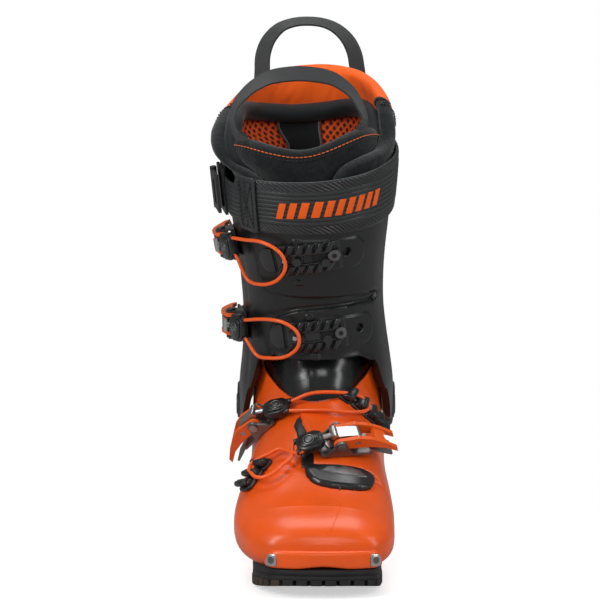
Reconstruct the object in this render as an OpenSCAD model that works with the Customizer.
// Four-buckle alpine touring ski boot, right foot, built as an assembly.
// Frame: +Z up, toe towards -Y, lateral side towards -X, medial side towards +X.
// The origin is on the ground under the boot-centre mark.

/* [Lower shell] */
// Sole length, toe tip to heel end
sole_len = 300; // [297:1:303]
// Wall thickness of the lower shell
shell_wall = 4; // [3.4:0.2:4.4]
// Width of the toe lug between its side faces
lug_w = 78; // [76:1:79]
// Height of the toe lug above the ground
lug_top = 32.5; // [31.5:0.5:33]

/* [Cuff] */
// Forward lean of the cuff
lean = 13; // [12.5:0.5:13.5]
// Wall thickness of the cuff
cuff_wall = 4; // [3.4:0.2:4.2]
// Cuff pivot, distance behind the boot centre
pivot_y = 60; // [59:0.5:61]
// Cuff pivot height
pivot_z = 100; // [99:0.5:101]

/* [Liner] */
// Thickness of the liner's cuff padding
liner_pad = 11; // [9:0.5:11]
// Thickness of the liner's foot
liner_foot_wall = 6; // [5:0.5:6.5]

/* [Buckles] */
// Distance from the lever pivot to the bail pin
throw = 12; // [11.5:0.25:12.5]
// Length of a buckle lever from its pivot to its tail
lever_len = 41; // [38:1:42]
// Width between the outer faces of a buckle's ears
base_w = 20; // [19.5:0.25:20.5]
// Radius of the lever pivot pins
pin_r = 2; // [1.9:0.05:2.1]
// Radius of the bail cables
cable_r = 1.3; // [1.1:0.1:1.4]

/* [Binding fittings] */
// Mouth radius of the toe sockets
toe_socket_r = 2.5; // [2.4:0.05:2.7]
// Distance between the outer faces of the toe sockets
toe_fit_w = 73; // [72:0.5:74]
// Radius of the heel pin holes
heel_hole_r = 3.1; // [3:0.05:3.2]
// Spacing of the heel pin holes
heel_hole_gap = 27; // [26.5:0.5:27.5]

/* [Hidden] */
$fn = 32;
orange = [0.93, 0.26, 0.05];
black = [0.09, 0.1, 0.1];
grey = [0.3, 0.32, 0.33];
steel = [0.62, 0.62, 0.6];
rubber = [0.07, 0.07, 0.07];
felt = [0.13, 0.14, 0.14];
pin_play = .05; // radial clearance round the small pins

// ---------- maths ----------
function unit(v) = v / norm(v);
function signed_pow(base, power) = sign(base) * pow(abs(base), power);
// Catmull-Rom curve through the rows; the whole part of t picks the row
function spline(rows, t) = let (n = len(rows), u = min(max(t, 0), n - 1 - 1e-9), i = floor(u),
  f = u - i, prev = rows[max(i - 1, 0)], from = rows[i], to = rows[min(i + 1, n - 1)],
  next = rows[min(i + 2, n - 1)])
  0.5 * ((2 * from) + (to - prev) * f + (2 * prev - 5 * from + 4 * to - next) * f * f
    + (3 * from - prev - 3 * to + next) * f * f * f);
// Looks x up in [x, value] pairs, eased between them and held constant beyond the ends
function eased(table, x) = let (last = len(table) - 1)
  x <= table[0][0] ? table[0][1] : x >= table[last][0] ? table[last][1] :
  let (i = [for (k = [0:last - 1]) if (x >= table[k][0] && x < table[k + 1][0]) k][0],
    s = (x - table[i][0]) / (table[i + 1][0] - table[i][0]), blend = s * s * (3 - 2 * s))
  table[i][1] * (1 - blend) + table[i + 1][1] * blend;
// Outline symmetric about X = 0, from the points of one side
function mirrored(half) =
  concat(half, [for (i = [len(half) - 1:-1:0]) [-half[i][0], half[i][1]]]);

// ---------- lower shell surface ----------
len_scale = sole_len / 300;
// Sections from toe to top. Columns: dorsal y, z, plantar y, z, lateral half width,
// medial half width, height share of the widest line, dorsal and plantar squareness
SHELL = [
  [-146 * len_scale, 37, -146 * len_scale, 30, 13, 14, .5, 2.0, 2.0],
  [-143.5 * len_scale, 43, -145 * len_scale, 24, 27, 28, .5, 2.2, 2.4],
  [-138.5 * len_scale, 48, -141 * len_scale, 20, 38, 37, .46, 2.3, 2.6],
  [-129, 53.5, -130, 16, 48, 44, .46, 2.3, 2.7],
  [-115, 58.5, -114, 13, 55, 47.5, .48, 2.25, 2.8],
  [-97, 66, -94, 11, 59.5, 48.5, .48, 2.2, 2.8],
  [-78, 78, -68, 11, 60.5, 49, .44, 2.1, 2.8],
  [-59, 92.5, -38, 12, 58, 48, .40, 2.1, 2.9],
  [-43, 105.5, -5, 14, 54, 46, .40, 2.1, 3.0],
  [-30, 116, 30, 15, 51, 45, .43, 2.1, 3.0],
  [-22, 125, 65, 15, 50, 45, .50, 2.1, 3.0],
  [-18, 132, 105, 15, 50, 45, .55, 2.1, 2.9],
  [-16, 138, 136 * len_scale, 20, 50, 44.5, .58, 2.1, 2.6],
  [-14, 143, 140 * len_scale, 46, 49.5, 44, .60, 2.1, 2.3],
  [-13, 148, 137, 70, 49, 43.5, .60, 2.1, 2.2],
  [-12, 152, 133, 92, 48.5, 43, .56, 2.1, 2.1],
  [-12, 156, 129.5, 112, 48, 42.5, .52, 2.1, 2.1],
  [-12, 160, 126, 130, 47.5, 42, .5, 2.1, 2.1]];
// Point of the lower shell: station is the section number, angle runs round it
// (0 medial, 90 dorsal, 180 lateral, 270 plantar), inset is the inward offset
function shell_pt(station, angle, inset = 0) = let (row = spline(SHELL, station),
  top = [row[0], row[1]], bottom = [row[2], row[3]], height = norm(top - bottom),
  up = (top - bottom) / height, share = row[6], centre = bottom + up * (share * height),
  co = cos(angle), si = sin(angle), square = si > 0 ? row[7] : row[8],
  reach = (si > 0 ? 1 - share : share) * height - inset,
  half_w = (co > 0 ? row[5] : row[4]) - inset, v = reach * signed_pow(si, 2 / square))
  [half_w * signed_pow(co, 2 / square), centre[0] + up[0] * v, centre[1] + up[1] * v];
function shell_grid(stations, angles, inset) =
  [for (t = stations) [for (a = angles) shell_pt(t, a, inset)]];
function shell_normal(station, angle) = unit(cross(
  shell_pt(station + .01, angle) - shell_pt(station - .01, angle),
  shell_pt(station, angle + .2) - shell_pt(station, angle - .2)));

// ---------- cuff and liner surfaces ----------
// Sections every 20 mm of height on the cuff axis from z 80. Columns: axis y,
// front half depth, back half depth, lateral x, medial x, squareness
CUFF = [
  [61, 68, 80, -57.5, 50, 2.2], [58, 73, 83, -60, 52.5, 2.2], [53, 74, 83, -59.5, 52.5, 2.2],
  [47.5, 70, 78, -57.5, 50, 2.2], [42, 66, 72, -56.3, 47, 2.2], [37, 64, 68, -56.5, 44.8, 2.2],
  [32, 64, 67, -58, 44.5, 2.2], [27, 65, 67, -60, 45.5, 2.2], [22, 67, 68, -63.5, 47.5, 2.2],
  [17, 69, 69.5, -66.5, 49.5, 2.2], [12.5, 70.5, 71, -68.5, 51, 2.2],
  [8, 71.5, 73, -69.5, 51.5, 2.2]];
// The liner is the cuff drawn in by 5.5, with its own sections above
LINER = [for (i = [0:9]) CUFF[i] + [0, -5.5, -5.5, 5.5, -5.5, 0],
  [12.5, 64.5, 65, -62.7, 45, 2.2], [9, 65, 67, -70, 47, 2.2], [5, 66, 70, -75, 49.5, 2.2],
  [2, 64, 71, -70, 45, 2.3], [-1, 62, 72, -62, 40, 2.4]];
// Point of the cuff or liner: level is the height on the axis, angle runs round it
// (0 medial, 90 back, 180 lateral, 270 front)
function cuff_pt(level, angle, inset = 0, rows = CUFF) = let (
  row = spline(rows, (level - 80) / 20), co = cos(angle), si = sin(angle),
  half_w = (row[4] - row[3]) / 2 - inset, depth = (si > 0 ? row[2] : row[1]) - inset,
  power = 2 / row[5], v = depth * signed_pow(si, power))
  [(row[3] + row[4]) / 2 + half_w * signed_pow(co, power),
    row[0] + v * cos(lean), level + v * sin(lean)];
function cuff_grid(levels, angles, inset) =
  [for (z = levels) [for (a = angles) cuff_pt(z, a, inset)]];
function cuff_normal(level, angle) = unit(cross(
  cuff_pt(level, angle + .2) - cuff_pt(level, angle - .2),
  cuff_pt(level + .01, angle) - cuff_pt(level - .01, angle)));
// Angle from the front, 0 to 180
function from_front(angle) = abs(((angle - 270) % 360 + 540) % 360 - 180);
// Edge levels: [angle from the front, level]
CUFF_BOTTOM = [[0, 158.6], [30, 158.3], [47, 152], [58, 128], [70, 100], [84, 87], [100, 86],
  [116, 92], [132, 101], [150, 103], [180, 103]];
CUFF_TOP = [[0, 270], [60, 273], [120, 278], [180, 282]];
LINER_TOP = [[0, 268], [25, 270], [40, 284], [60, 297], [90, 313], [130, 327], [180, 334]];

// ---------- surface builders ----------
// Closed loft through rings of points, ends capped
module loft(rings) {
  m = len(rings);
  n = len(rings[0]);
  polyhedron(
    points = [for (ring = rings) each ring],
    faces = concat(
      [for (i = [0:m - 2], j = [0:n - 1]) let (k = (j + 1) % n)
        [i * n + j, i * n + k, (i + 1) * n + k, (i + 1) * n + j]],
      [[for (j = [n - 1:-1:0]) j]],
      [[for (j = [0:n - 1]) (m - 1) * n + j]]),
    convexity = 8);
}
function two_tris(a, b, c, d) = [[a, b, c], [a, c, d]];
// Wall between an outer and an inner grid of points. closed joins the last column to the
// first; on_cuff swaps the grids, as cuff grids wind the other way from shell grids
module skin(outer, inner, closed = false, on_cuff = false) {
  first = on_cuff ? inner : outer;
  second = on_cuff ? outer : inner;
  m = len(first);
  n = len(first[0]);
  all = m * n;
  top = all - n;
  last = closed ? n - 1 : n - 2;
  polyhedron(
    points = concat([for (row = first) each row], [for (row = second) each row]),
    faces = concat(
      [for (i = [0:m - 2], j = [0:last]) let (k = (j + 1) % n, p = i * n, q = p + n)
        each two_tris(p + j, p + k, q + k, q + j)],
      [for (i = [0:m - 2], j = [0:last]) let (k = (j + 1) % n, p = all + i * n, q = p + n)
        each two_tris(p + j, q + j, q + k, p + k)],
      [for (j = [0:last]) let (k = (j + 1) % n) each two_tris(j, all + j, all + k, k)],
      [for (j = [0:last]) let (k = (j + 1) % n)
        each two_tris(top + j, top + k, all + top + k, all + top + j)],
      closed ? [] : [for (i = [0:m - 2]) let (p = i * n, q = p + n)
        each two_tris(p, q, all + q, all + p)],
      closed ? [] : [for (i = [0:m - 2]) let (p = i * n + n - 1, q = p + n)
        each two_tris(p, all + p, all + q, q)]),
    convexity = 8);
}
module shell_skin(stations, angles, outer, inner)
  skin(shell_grid(stations, angles, outer), shell_grid(stations, angles, inner));
module cuff_skin(levels, angles, outer, inner, closed = false)
  skin(cuff_grid(levels, angles, outer), cuff_grid(levels, angles, inner), closed, true);
function directions(path) = [for (i = [0:len(path) - 1])
  unit(path[min(i + 1, len(path) - 1)] - path[max(i - 1, 0)])];
// Eight-sided tube along a list of points
module tube(path, radius, up) {
  along = directions(path);
  loft([for (i = [0:len(path) - 1])
    let (side = unit(cross(along[i], up)), out = cross(side, along[i]))
    [for (j = [0:7]) path[i] + radius * (side * cos(j * 45) + out * sin(j * 45))]]);
}
// Flat strap along a list of points; side is the vector from its middle to one edge
module band(path, side, thickness) {
  along = directions(path);
  loft([for (i = [0:len(path) - 1])
    let (p = path[i], rise = unit(cross(side, along[i])) * thickness / 2)
    [p - side + rise, p - side - rise, p + side - rise, p + side + rise]]);
}
// Joins the children into one mesh
module mesh() resize([0, 0, 0]) union() children();

// ---------- simple solids ----------
// Box centred on X = 0, starting at y and z
module box_mid_x(size, y, z) translate([-size.x / 2, y, z]) cube(size);
// Box centred on Y = 0, starting at x and z
module box_mid_y(size, x, z) translate([x, -size.y / 2, z]) cube(size);
module along_x(start) translate(start) rotate([0, 90, 0]) children();
// Bar along X through [y, z], reaching equally to both sides
module bar_x(axis, radius, reach)
  along_x([-reach, axis[0], axis[1]]) cylinder(r = radius, h = 2 * reach);
// Bar along Y, centred on a point
module bar_y(centre, radius, length)
  translate(centre) rotate([90, 0, 0]) cylinder(r = radius, h = length, center = true);
// Puts children at distance x on the cuff pivot axis, their z pointing outwards
module at_pivot(x) translate([x, pivot_y, pivot_z]) rotate([0, sign(x) * 90, 0]) children();

// ---------- frames on the surfaces ----------
// A frame is [x axis, y axis, z axis, origin]: z along the normal, x towards a target
function frame(origin, normal, target) = let (z = unit(normal), pull = target - origin,
  x = unit(pull - (pull * z) * z)) [x, cross(z, x), z, origin];
function cuff_frame(level, angle, lift, target) = let (normal = cuff_normal(level, angle))
  frame(cuff_pt(level, angle) + normal * lift, normal, target);
function shell_frame(station, angle, lift, pull) = let (p = shell_pt(station, angle),
  normal = shell_normal(station, angle)) frame(p + normal * lift, normal, p + 20 * pull);
module place(f) multmatrix([for (i = [0:2]) [f[0][i], f[1][i], f[2][i], f[3][i]], [0, 0, 0, 1]])
  children();
function frame_pt(f, v) = f[3] + v[0] * f[0] + v[1] * f[1] + v[2] * f[2];

// Buckle numbers, which index the buckle lists
upper = 0;
lower = 1;
instep = 2;
toe = 3;
pivot_lift = 9.2; // lever pivot axis above the cuff
// Origin on the lever pivot axis, x along the pull, z outwards
buckle_frames = [
  cuff_frame(228, 190, pivot_lift, cuff_pt(232.5, 215)),
  cuff_frame(168, 193, pivot_lift, cuff_pt(172.3, 218)),
  shell_frame(8.93, 138, pivot_lift + .6, [.357, -.604, .704]),
  shell_frame(6.62, 80, pivot_lift + 3.6, [-.93, -.22, -.05])];

// ---------- fasteners ----------
rivet_r = 2;
module rivet_spots(z) for (x = [-16, 5]) translate([x, 0, z]) children();
module rivet_holes(k)
  place(buckle_frames[k]) rivet_spots(-16) cylinder(r = rivet_r + .3, h = 14, $fn = 20);
module rivets(k) place(buckle_frames[k]) rivet_spots(-13.4) {
  cylinder(r = rivet_r, h = 6.4);
  translate([0, 0, 6.4]) cylinder(r = 3.2, h = .9);
}
// Racks on the shell: [station, angle] of four points, angle by which the tooth tips
// lean, station of the hole normals
INSTEP_RACK = [[[8.95, 68], [9.07, 57], [9.19, 46], [9.31, 36]], 1.4, 9.1];
TOE_RACK = [[[6.55, 128], [6.2, 133], [5.85, 138], [5.5, 143]], -1.4, 6];
module rack_holes(rack) for (i = [1, 2]) {
  spot = rack[0][i];
  p = shell_pt(spot[0], spot[1], -.6);
  place(frame(p, shell_normal(rack[2], spot[1]), p + [1, 0, 0]))
    translate([0, 0, -10]) cylinder(r = 1.9, h = 16, $fn = 16);
}
// Ladders on the cuff: level, first and last angle
UPPER_LADDER = [229.5, 236, 292];
LOWER_LADDER = [174, 240, 298];
// Children at the two screws of each ladder
module ladder_screw_spots(inset)
  for (rail = [UPPER_LADDER, LOWER_LADDER], a = [262, 278])
    place(frame(cuff_pt(rail[0], a, inset), cuff_normal(rail[0], a), cuff_pt(rail[0], a + 5)))
      children();

// ---------- lower shell ----------
section_angles = [0:12:348];
shell_top = len(SHELL) - 1;
// Inside of the lower shell at an inset, from station first upwards;
// through_top carries it on past the shell's mouth
module foot_solid(inset, first = 3, through_top = true) {
  later = [3.5, 4, 5, 6, 7, 8, 9, 10, 11, 12, 12.6, 13.2, 14, 15, 16, 17];
  stations = concat([first], [for (t = later) if (t > first) t]);
  lifted = [for (a = section_angles) shell_pt(shell_top, a, inset) + [0, 6, 40]];
  loft(concat(shell_grid(stations, section_angles, inset), through_top ? [lifted] : []));
}
module shell_solid()
  loft(shell_grid([for (t = [0:.5:14]) t, 15, 16, 17], section_angles, 0));
// Ring outside the given radius about the pivot axis, only from 21 mm above it
module sweep_clip(radius) along_x([-90, pivot_y, pivot_z]) difference() {
  cylinder(r = 170, h = 180, $fn = 72);
  translate([0, 0, -1]) cylinder(r = radius, h = 182, $fn = 72);
  translate([-21, -200, -1]) cube([400, 400, 182]);
}
module throat_cut() translate([0, 27, 0]) rotate([90, 0, 0]) linear_extrude(115)
  polygon([[-16, 116], [-24, 124], [-31.5, 134], [-36.5, 146], [-38, 200], [42, 200],
    [40, 146], [34, 134], [24.5, 120], [14, 114.5], [-2, 112.5]]);
lug_bottom = 20.6;
module toe_lug() translate([0, 0, lug_bottom]) linear_extrude(lug_top - lug_bottom)
  polygon(mirrored([[-lug_w / 2, -100], [-lug_w / 2, -134], [-lug_w / 2 + 2, -141],
    [-lug_w / 2 + 8, -146 * len_scale], [-16, -sole_len / 2 + .3]]));
module heel_ledge() translate([0, 0, 14.9]) linear_extrude(18.9) offset(r = 8)
  polygon([[-26, 100], [26, 100], [24, sole_len / 2 - 9], [-24, sole_len / 2 - 9]]);
// Outer overlap flap of the instep: free edge as [station, angle]
FLAP_EDGE = [[5.75, 93], [6.8, 95.5], [7.6, 101.5], [8.2, 104.5], [8.8, 98]];
flap_root = 22; // angle of the medial edge
function flap_grid(inset) = [for (t = [5.75, 6.2, 6.7, 7.2, 7.7, 8.15, 8.6])
  let (edge = eased(FLAP_EDGE, t))
  [for (j = [0:8]) shell_pt(t, flap_root + (edge - flap_root) * j / 8, inset)]];
module instep_flap() skin(flap_grid(-3.2), flap_grid(1));

toe_bar_axis = [-138, 25.6]; // y, z
toe_bar_r = 5.3;
sole_screw_pts = [[-26, -112], [24, -112], [-30, -62], [24, -62],
  [-24, 92], [24, 92], [-22, 122], [22, 122]];
screw_hole_r = 2.2;
module lower_shell() color(orange) mesh() difference() {
  union() {
    difference() {
      shell_solid();
      foot_solid(shell_wall);
    }
    difference() {
      toe_lug();
      foot_solid(shell_wall);
    }
    instep_flap();
    difference() {
      heel_ledge();
      foot_solid(shell_wall);
    }
  }
  throat_cut();
  sweep_clip(85);
  for (k = [instep, toe]) rivet_holes(k);
  rack_holes(INSTEP_RACK);
  rack_holes(TOE_RACK);
  // seats for the toe and heel inserts
  bar_x(toe_bar_axis, toe_bar_r + .3, toe_fit_w / 2 + 8, $fn = 28);
  box_mid_x([38.4, 40, 14.4], 134, 19.8);
  // pivot holes and the lock pin's opening
  for (x = [-30, 30]) at_pivot(x) cylinder(r = 5.4, h = 40, $fn = 28);
  box_mid_x([11, 30, 12], 120, 106.5);
  // flat underside and screw holes
  box_mid_x([200, 400, 22.4], -200, -10);
  for (p = sole_screw_pts)
    translate([p[0], p[1], 5]) cylinder(r = screw_hole_r, h = 16, $fn = 16);
}

// ---------- soles ----------
// Tread grooves across the sole, and the counterbored screw holes of one end
// (end is -1 for the toe, 1 for the heel)
module sole_cuts(end, grooves) {
  for (y = grooves) box_mid_x([120, 5, 4], y, -1);
  for (p = sole_screw_pts) if (p[1] * end > 0) translate([p[0], p[1], -1]) {
    cylinder(r = screw_hole_r, h = 30);
    cylinder(r = 4.2, h = 6.2);
  }
}
module toe_sole() color(rubber) difference() {
  linear_extrude(20.2) offset(delta = 0) polygon([[-38, -134], [-36, -141],
    [-30, -146 * len_scale], [-16, -sole_len / 2], [16, -sole_len / 2],
    [30, -146 * len_scale], [36, -141], [38.5, -134], [39, -118], [42, -96], [42, -74],
    [38, -44], [33, -18], [-35, -18], [-42, -44], [-49.5, -70], [-51, -92], [-46, -114],
    [-39.5, -128]]);
  // top face: flat, then rising towards the toe
  box_mid_x([160, 130, 20], -129, 12.2);
  translate([0, -129, 12.2]) rotate([-24, 0, 0]) box_mid_x([160, 60.1, 30], -60, 0);
  // rockered tip
  translate([0, -104, 0]) rotate([-12.5, 0, 0]) box_mid_x([160, 80, 30], -80, -30);
  sole_cuts(-1, [-88, -68, -48]);
}
module heel_sole() color(rubber) difference() {
  linear_extrude(14.6)
    polygon(mirrored([[34, 66], [35, 100], [33, 134], [28, 145], [18, sole_len / 2]]));
  sole_cuts(1, [82, 104, 126]);
}
module sole_screws() color(steel) for (p = sole_screw_pts) translate([p[0], p[1], 2.6]) {
  cylinder(r = 3.9, h = 2.4);
  cylinder(r = 1.9, h = 11.2);
}
// Bar with a pin socket at each end, its bottom coned
module toe_insert() color(steel)
  translate([0, toe_bar_axis[0], toe_bar_axis[1]]) difference() {
    bar_x([0, 0], toe_bar_r, toe_fit_w / 2);
    for (s = [-1, 1]) translate([s * toe_fit_w / 2, 0, 0]) rotate([0, -s * 90, 0]) {
      translate([0, 0, -1]) cylinder(r = toe_socket_r, h = 6);
      translate([0, 0, 5]) cylinder(r1 = toe_socket_r, r2 = .4, h = 2.4);
    }
  }
// Block with two pin holes open at the top by slots, and a screw hole between them
heel_hole_z = 27;
module heel_insert() color(steel) difference() {
  box_mid_x([37.6, sole_len / 2 - 134.9, 13.6], 134.4, 20.2);
  for (x = [-1, 1] * heel_hole_gap / 2) {
    translate([x, sole_len / 2 + 1, heel_hole_z])
      rotate([90, 0, 0]) cylinder(r = heel_hole_r, h = 13);
    translate([x, 0, 0]) box_mid_x([3.2, 10, 20], sole_len / 2 - 6, heel_hole_z);
  }
  translate([0, sole_len / 2 + 1, heel_hole_z]) rotate([90, 0, 0]) {
    cylinder(r = 2.1, h = 30);
    cylinder(r = 4.2, h = 4.2);
  }
}

// ---------- inside the lower shell ----------
module boot_board() color(grey) mesh() intersection() {
  foot_solid(shell_wall + .8, 3.1, false);
  box_mid_x([160, 250, 4.6], -128, 17.2);
}
module insole() color(felt) mesh() intersection() {
  foot_solid(shell_wall + 8.4, 3.6, false);
  box_mid_x([160, 228, 3.4], -116, 28.4);
}
liner_gap = 1.5; // between the shell and the liner's foot
module liner_foot() color(black) mesh() difference() {
  foot_solid(shell_wall + liner_gap, 3.12, false);
  box_mid_x([200, 400, 22.2], -200, 0);
  sweep_clip(84);
  // room for the pivot nuts
  for (x = [-41, 33.6]) at_pivot(x) cylinder(r = 9, h = 20, $fn = 28);
  difference() {
    foot_solid(shell_wall + liner_gap + liner_foot_wall, 3.5);
    box_mid_x([200, 400, 28], -200, 0);
  }
}
module throat_gaiter() color(black) mesh() difference() {
  shell_skin([8, 9, 10, 11, 12, 12.6, 13.2, 14, 15, 16], [24:12:144],
    shell_wall + .45, shell_wall + 1);
  sweep_clip(83.6);
}
module overlap_end_cap() color(black) mesh()
  shell_skin([4.95, 5.25, 5.6], [for (j = [0:8]) 50 + 6.4 * j], -4.2, -.25);

// ---------- cuff ----------
cuff_angles = [for (a = [0:10:220]) a, 230, 234, 235.5, for (a = [242:9.25:325.3]) a,
  327, 328.5, 340, 350];
// Fixed levels; four rows lead up to them from the bottom edge and three go on to the top
cuff_mid = [160, 161.2, 176, 190.8, 192, 204, 205.2, 218, 232, 244.8, 246];
function cuff_levels(angle) = let (low = eased(CUFF_BOTTOM, from_front(angle)),
  high = eased(CUFF_TOP, from_front(angle)))
  [for (k = [0:3]) low + (cuff_mid[0] - low) * k / 4, each cuff_mid,
    for (k = [1:3]) cuff_mid[10] + (high - cuff_mid[10]) * k / 3];
// Grid rows and angles of the two raised overlap tongues across the front
function on_tongue(row, angle) = angle > 235 && angle < 327.5
  && ((row >= 5 && row <= 7) || (row >= 10 && row <= 13));
function cuff_wall_grid(inset, tongue_inset) = [for (i = [0:17]) [for (a = cuff_angles)
  cuff_pt(cuff_levels(a)[i], a, on_tongue(i, a) ? tongue_inset : inset)]];
tongue_rise = 2.6;
bush_r = 8;
module cuff_shell() color(black) mesh() difference() {
  skin(cuff_wall_grid(0, -tongue_rise), cuff_wall_grid(cuff_wall, cuff_wall), true, true);
  for (x = [-35, 35]) at_pivot(x) cylinder(r = bush_r + .4, h = 40, $fn = 28);
  // slot at the back for the walk mechanism
  box_mid_x([18.6, 50, 57], 105, 100);
  for (k = [upper, lower]) rivet_holes(k);
  ladder_screw_spots(-tongue_rise)
    translate([0, 0, -9]) cylinder(r = 1.9, h = 14, $fn = 16);
}
module cuff_spine() color(grey) mesh()
  cuff_skin([190, 205, 220, 233, 245], [70:5:110], -1.9, -.3);

// Point on a ladder: rise across it, step along it (0 to 12)
function ladder_pt(rail, rise, step, inset) =
  cuff_pt(rail[0] + rise, rail[1] + (rail[2] - rail[1]) * step / 12, inset);
function ladder_grid(rail, inset) =
  [for (d = [-11, 0, 11]) [for (j = [0:12]) ladder_pt(rail, d, j, inset)]];
// Curved strip with two rows of wedge teeth
module ladder(rail) mesh() {
  skin(ladder_grid(rail, -4.8), ladder_grid(rail, -2.9), on_cuff = true);
  for (j = [3:2:9], s = [-1, 1]) {
    // [step, height] of the tooth's foot, foot and tip, at its two side faces
    faces = [for (y = [4.6, 10.4]) [for (q = [[j + .13, 0], [j + 1.47, 0], [j + .53, 3.5]])
      ladder_pt(rail, s * y, q[0], -4.3 - q[1])]];
    hull() polyhedron(concat(faces[0], faces[1]),
      [[0, 1, 2], [3, 5, 4], [0, 3, 4, 1], [1, 4, 5, 2], [2, 5, 3, 0]]);
  }
}
module upper_ladder() color(black) ladder(UPPER_LADDER);
module lower_ladder() color(black) ladder(LOWER_LADDER);
module cuff_fasteners() color(steel) {
  rivets(upper);
  rivets(lower);
  ladder_screw_spots(-5.1) cylinder(r = 3, h = 1.4);
}

// ---------- cuff pivots ----------
pivot_x = [-60, 52.5]; // lateral and medial
bolt_depth = [16, 15.8];
bolt_r = 5;
module pivot_bolts() color(steel) for (i = [0, 1]) at_pivot(pivot_x[i]) {
  translate([0, 0, 1.4]) cylinder(r = 9, h = 2.2);
  translate([0, 0, -bolt_depth[i]]) cylinder(r = bolt_r, h = bolt_depth[i] + 1.5);
}
module pivot_bushes() color(grey) for (x = pivot_x) at_pivot(x) difference() {
  union() {
    translate([0, 0, -5.2]) cylinder(r = bush_r, h = 5.6);
    translate([0, 0, .3]) cylinder(r = 10, h = .9);
  }
  translate([0, 0, -8]) cylinder(r = bolt_r + .06, h = 20);
}
module pivot_nuts() color(steel) for (i = [0, 1]) at_pivot(pivot_x[i])
  translate([0, 0, -bolt_depth[i] - 2.2]) cylinder(r = 7.5, h = 2);

// ---------- walk mechanism ----------
module lock_pin() color(steel) {
  box_mid_x([18, 1.6, 18], 132.4, 103);
  box_mid_x([8, 16.4, 9], 126.6, 108);
}
// Frame on the back of the cuff: x lateral, y up the spine, z outwards
lock_frame = let (low = cuff_pt(120, 90, -1.2), rise = cuff_pt(188, 90, -1.2) - low,
  out = unit([0, rise.z, -rise.y])) [[-1, 0, 0], cross(out, [-1, 0, 0]), out, low];
// Pin axes as [y, z] in that frame, and pin radii
walk_axis = [58, 8.6];
bar_axis = [26, 4.6];
walk_pin_r = 2;
bar_pin_r = 1.5;
module walk_pin_hole() bar_x(walk_axis, walk_pin_r + pin_play, 20);
module bar_pin_hole() bar_x(bar_axis, bar_pin_r + pin_play, 20);
module lock_housing() color(black) place(lock_frame) difference() {
  box_mid_x([26, 44, 13.4], 20, .4);
  box_mid_x([18, 46, 10.8], 19, -1);
  walk_pin_hole();
  bar_pin_hole();
  box_mid_x([17.2, 30, 20], 44, 5);
}
module walk_pin() color(steel) place(lock_frame) {
  bar_x(walk_axis, walk_pin_r, 12.6);
  bar_x(bar_axis, bar_pin_r, 12.6);
}
module walk_lever() color(orange) place(lock_frame) difference() {
  union() {
    bar_x(walk_axis, 4.4, 8);
    box_mid_x([16, 50, 3.8], walk_axis[0], 9.2);
    box_mid_x([16, 12, 6.5], 96, 9.2);
  }
  walk_pin_hole();
}
// Plate with two prongs pointing down
module lock_bar() color(steel) place(lock_frame) difference() {
  union() {
    box_mid_x([16, 38, 3.4], 2, 2.9);
    for (x = [-8, 5.2]) translate([x, -31, 2.9]) cube([2.8, 34, 3.4]);
  }
  bar_pin_hole();
}

// ---------- buckles ----------
plate_t = 1.6;
plate_z = -8.7; // underside of the base plate
bail = [-throw, 0, 1.5]; // bail pin centre
bail_r = 1.8;
rod_root = [3.4, 0, 4]; // start of the threaded rod
rod_dip = [20, 20, 34, 24]; // angle of each rod below the pull line
tail_dip = [18, 18, 14, 20]; // angle of each base plate's tail
cover_half_w = [9.6, 9.6, 7.4, 7.4];

module bail_hole() bar_y(bail, bail_r + pin_play, 40);
module ear() difference() {
  rotate([90, 0, 0]) linear_extrude(plate_t, center = true) union() {
    circle(r = 4.3);
    polygon([[-4.3, 0], [-10, plate_z], [11, plate_z], [4.3, 0]]);
  }
  bar_y([0, 0, 0], pin_r + pin_play, 5);
}
module base_plate(k) place(buckle_frames[k]) {
  difference() {
    union() {
      box_mid_y([35, base_w, plate_t], -22, plate_z);
      translate([-22, 0, plate_z]) rotate([0, -tail_dip[k], 0])
        box_mid_y([19, 12, plate_t], -18, 0);
    }
    rivet_spots(-20) cylinder(r = rivet_r + .2, h = 30);
  }
  for (s = [-1, 1]) translate([0, s * (base_w - plate_t) / 2, 0]) ear();
}
module pivot_rod(k) place(buckle_frames[k]) {
  bar_y([0, 0, 0], pin_r, base_w + 1);
  for (s = [-1, 1]) bar_y([0, s * (base_w / 2 + .7), 0], 3, .9);
}
// Two side plates joined by a tilted crosspiece near the tail
module lever(k) color(orange) place(buckle_frames[k]) difference() {
  union() {
    for (s = [-1, 1]) translate([0, s * 6.6, 0])
      rotate([90, 0, 0]) linear_extrude(2.8, center = true) union() {
        circle(r = 4.5);
        translate([bail.x, bail.z]) circle(r = 4.7);
        polygon([[0, 4.4], [-throw, 6.1], [-21, 4.6], [-31, .2], [-lever_len, -5.6],
          [-lever_len - 1, -9.2], [-31, -4.6], [-22, -3.4], [-throw, -3.1], [0, -4.4]]);
      }
    translate([-22, 0, .1]) rotate([0, -26, 0]) box_mid_y([10, 15.8, 3], -12, 0);
  }
  translate([-36.5, 0, -20]) cylinder(r = 4, h = 40);
  bar_y([0, 0, 0], pin_r + pin_play, 40);
  bail_hole();
}
module bail_pin(k) color(steel) place(buckle_frames[k]) bar_y(bail, bail_r, 15.6);
// Yoke on the bail pin, with the threaded rod
module adjuster(k) color(steel) place(buckle_frames[k]) difference() {
  union() {
    bar_y(bail, 4, 9);
    box_mid_y([throw + 5, 9, 3], -throw, 2.7);
    translate(rod_root) rotate([0, 90 + rod_dip[k], 0]) cylinder(r = 2.2, h = 13);
    bar_y([4, 0, 4.6], 2.6, 9);
  }
  bail_hole();
}
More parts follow.
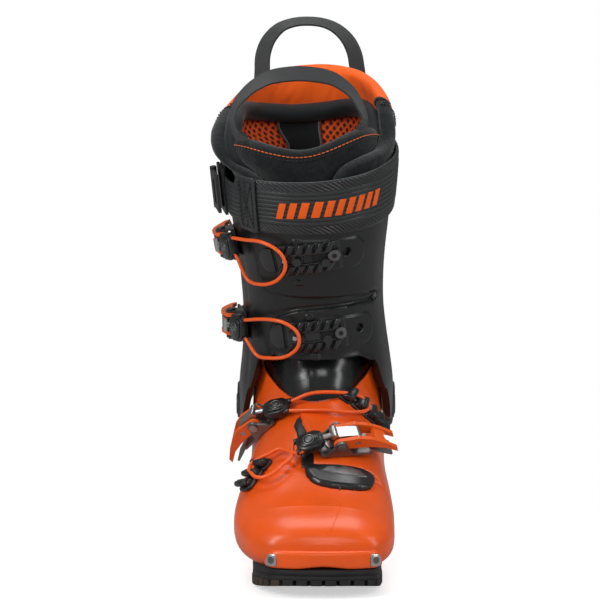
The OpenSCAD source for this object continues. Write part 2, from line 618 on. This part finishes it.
// Tapered block over the end of the rod
module cover(k) color(black) place(buckle_frames[k])
  translate(rod_root) rotate([0, rod_dip[k], 0]) difference() {
    w = cover_half_w[k];
    translate([8, 0, -3.4]) linear_extrude(6.6)
      polygon([[0, -4], [4, -w], [14, -w], [19, -w + 3], [19, w - 3], [14, w], [4, w], [0, 4]]);
    rotate([0, 90, 0]) cylinder(r = 2.35, h = 14);
  }

// Cable loops from one side of the cover to the other; the middle row is the hook.
// Columns: level on the cuff or station on the shell, angle, inset
CABLES = [
  [[240.5, 226, -7.2], [242.5, 238, -8], [240.5, 248, -8.9], [235.5, 253.8, -9.5],
    [228.5, 255.6, -9.8],
    [221.5, 253.4, -9.5], [214.8, 247, -8.9], [210.6, 236, -8], [210.6, 222, -7.2]],
  [[183.5, 229, -7.2], [186.3, 242, -8], [186, 252, -8.9], [181.5, 259.6, -9.5],
    [175, 261.8, -9.8],
    [168, 259.4, -9.5], [162, 252, -8.9], [159, 241, -8], [157.6, 228, -7.2]],
  [[8.95, 97.5, -6.8], [9, 84, -7.2], [9.25, 68, -7.6],
    [9, 53, -9.4],
    [8.35, 60, -7.6], [7.98, 74, -7.2], [7.95, 90, -6.8]],
  [[6.5, 115, -7], [6.47, 123, -7], [6.45, 130, -7.6],
    [6.2, 136.5, -8.8],
    [5.65, 131.5, -7.6], [5.4, 123, -7], [5.5, 114.5, -7]]];
curve_steps = 6; // tube rings per cable row
// Point at the cover's far end, y off its middle
function cover_end(k, y) = frame_pt(buckle_frames[k],
  rod_root + [28.7 * cos(rod_dip[k]), y, -28.7 * sin(rod_dip[k])]);
module cable(k) color(orange) mesh() {
  points = [for (c = CABLES[k])
    k < instep ? cuff_pt(c[0], c[1], c[2]) : shell_pt(c[0], c[1], c[2])];
  hook = points[(len(points) - 1) / 2];
  exit_y = cover_half_w[k] - 2.6;
  path = concat([cover_end(k, exit_y)], points, [cover_end(k, -exit_y)]);
  tube([for (i = [0:(len(path) - 1) * curve_steps]) spline(path, i / curve_steps)],
    cable_r, buckle_frames[k][2] * .3 + unit(cover_end(k, 0) - hook));
}
// Strip along the four rack points, with a wedge tooth at each of the first three
module rack(table) color(black) mesh() {
  spots = table[0];
  for (i = [0:2]) hull()
    for (q = [i, i + 1], d = [-.22, .22]) for (inset = [-1.2, -2.8])
      translate(shell_pt(spots[q][0] + d, spots[q][1], inset)) cube(.6, center = true);
  for (i = [0:2]) hull() for (d = [-.25, .25]) {
    for (e = [-2.4, 2.4])
      translate(shell_pt(spots[i][0] + d, spots[i][1] + e, -1.6)) cube(.5, center = true);
    translate(shell_pt(spots[i][0] + d, spots[i][1] + table[1], -5.4)) cube(.6, center = true);
  }
}
module instep_rack() rack(INSTEP_RACK);
module toe_rack() rack(TOE_RACK);
module upper_base() color(black) base_plate(upper);
module lower_base() color(black) base_plate(lower);
module instep_base() color(steel) base_plate(instep);
module toe_base() color(steel) base_plate(toe);
module shell_fasteners() color(steel) {
  rivets(instep);
  rivets(toe);
}
module shell_pivot_pins() color(steel) {
  pivot_rod(instep);
  pivot_rod(toe);
}
module cuff_pivot_pins() color(steel) {
  pivot_rod(upper);
  pivot_rod(lower);
}

// ---------- power strap ----------
module power_strap() color(black) mesh() {
  cuff_skin([249, 262, 275, 287], [0:10:350], -3.2, -.4, true);
  // tab over the strap's free end
  cuff_skin([251, 268, 285.3], [216.5:4.8:235.7], -5, -2.2);
}
strap_place = cuff_frame(268, 196, 3.6, cuff_pt(268, 214));
module strap_frame() color(black) place(strap_place) difference() {
  box_mid_y([18, 34, 2], -9, 0);
  box_mid_y([9, 26, 4], -4, -1);
}
module strap_cam() color(black) place(strap_place) translate([-6.4, 0, 5]) difference() {
  union() {
    bar_y([0, 0, 0], 2.4, 30);
    box_mid_y([20, 28, 2.2], -2, 0);
  }
  box_mid_y([7, 18, 8], 6, -4);
}

// ---------- liner shaft, tongue and loops ----------
// tops lists [angle, top level]
function liner_grid(tops, low, steps, inset) = [for (i = [0:steps])
  [for (top = tops) cuff_pt(low + (top[1] - low) * i / steps, top[0], inset, LINER)]];
// Padding wall from level low to the tops, cleared round the pivot axis
module liner_wall(tops, low, steps, outer, inner) mesh() difference() {
  skin(liner_grid(tops, low, steps, outer), liner_grid(tops, low, steps, inner),
    on_cuff = true);
  bar_x([pivot_y, pivot_z], 86, 90, $fn = 72);
}
module liner_shaft() color(felt)
  liner_wall([for (a = [-66:9:246]) [a, eased(LINER_TOP, from_front(a))]],
    128, 9, 0, liner_pad);
module liner_tongue() color(felt)
  liner_wall([for (a = [210:10:330]) [a, 305 - 7 * cos(from_front(a) * 3.4)]],
    132, 8, liner_pad + 1.6, liner_pad + 8);
// Strap loop from start across to end_x, rising to the apex [y, z]
module pull_loop(start, end_x, apex, side) color(black) mesh()
  band([for (i = [0:16]) let (s = i / 16, rise = 1 - pow(abs(2 * s - 1), 2.6))
    [start.x + (end_x - start.x) * s, start.y + (apex[0] - start.y) * rise,
      start.z + (apex[1] - start.z) * rise]], side, 1.5);
module rear_loop() pull_loop([-50, 79, 322], 31, [84, 383.5], [0, 6, -2]);
module tongue_loop() pull_loop([-55, -33, 309], 33, [10, 341], [0, 7, -6]);

lower_shell();
throat_gaiter();
overlap_end_cap();
toe_sole();
heel_sole();
toe_insert();
heel_insert();
sole_screws();
boot_board();
insole();
liner_foot();
pivot_bolts();
pivot_nuts();
lock_pin();
instep_base();
toe_base();
shell_fasteners();
instep_rack();
toe_rack();
shell_pivot_pins();
cuff_shell();
cuff_spine();
pivot_bushes();
upper_ladder();
lower_ladder();
cuff_fasteners();
upper_base();
lower_base();
cuff_pivot_pins();
power_strap();
strap_frame();
strap_cam();
liner_shaft();
liner_tongue();
rear_loop();
tongue_loop();
lock_housing();
walk_lever();
lock_bar();
walk_pin();
lever(upper);  // upper_lever
bail_pin(upper);  // upper_bail_pin
adjuster(upper);  // upper_adjuster
cover(upper);  // upper_cover
cable(upper);  // upper_cable
lever(lower);  // lower_lever
bail_pin(lower);  // lower_bail_pin
adjuster(lower);  // lower_adjuster
cover(lower);  // lower_cover
cable(lower);  // lower_cable
lever(instep);  // instep_lever
bail_pin(instep);  // instep_bail_pin
adjuster(instep);  // instep_adjuster
cover(instep);  // instep_cover
cable(instep);  // instep_cable
lever(toe);  // toe_lever
bail_pin(toe);  // toe_bail_pin
adjuster(toe);  // toe_adjuster
cover(toe);  // toe_cover
cable(toe);  // toe_cable
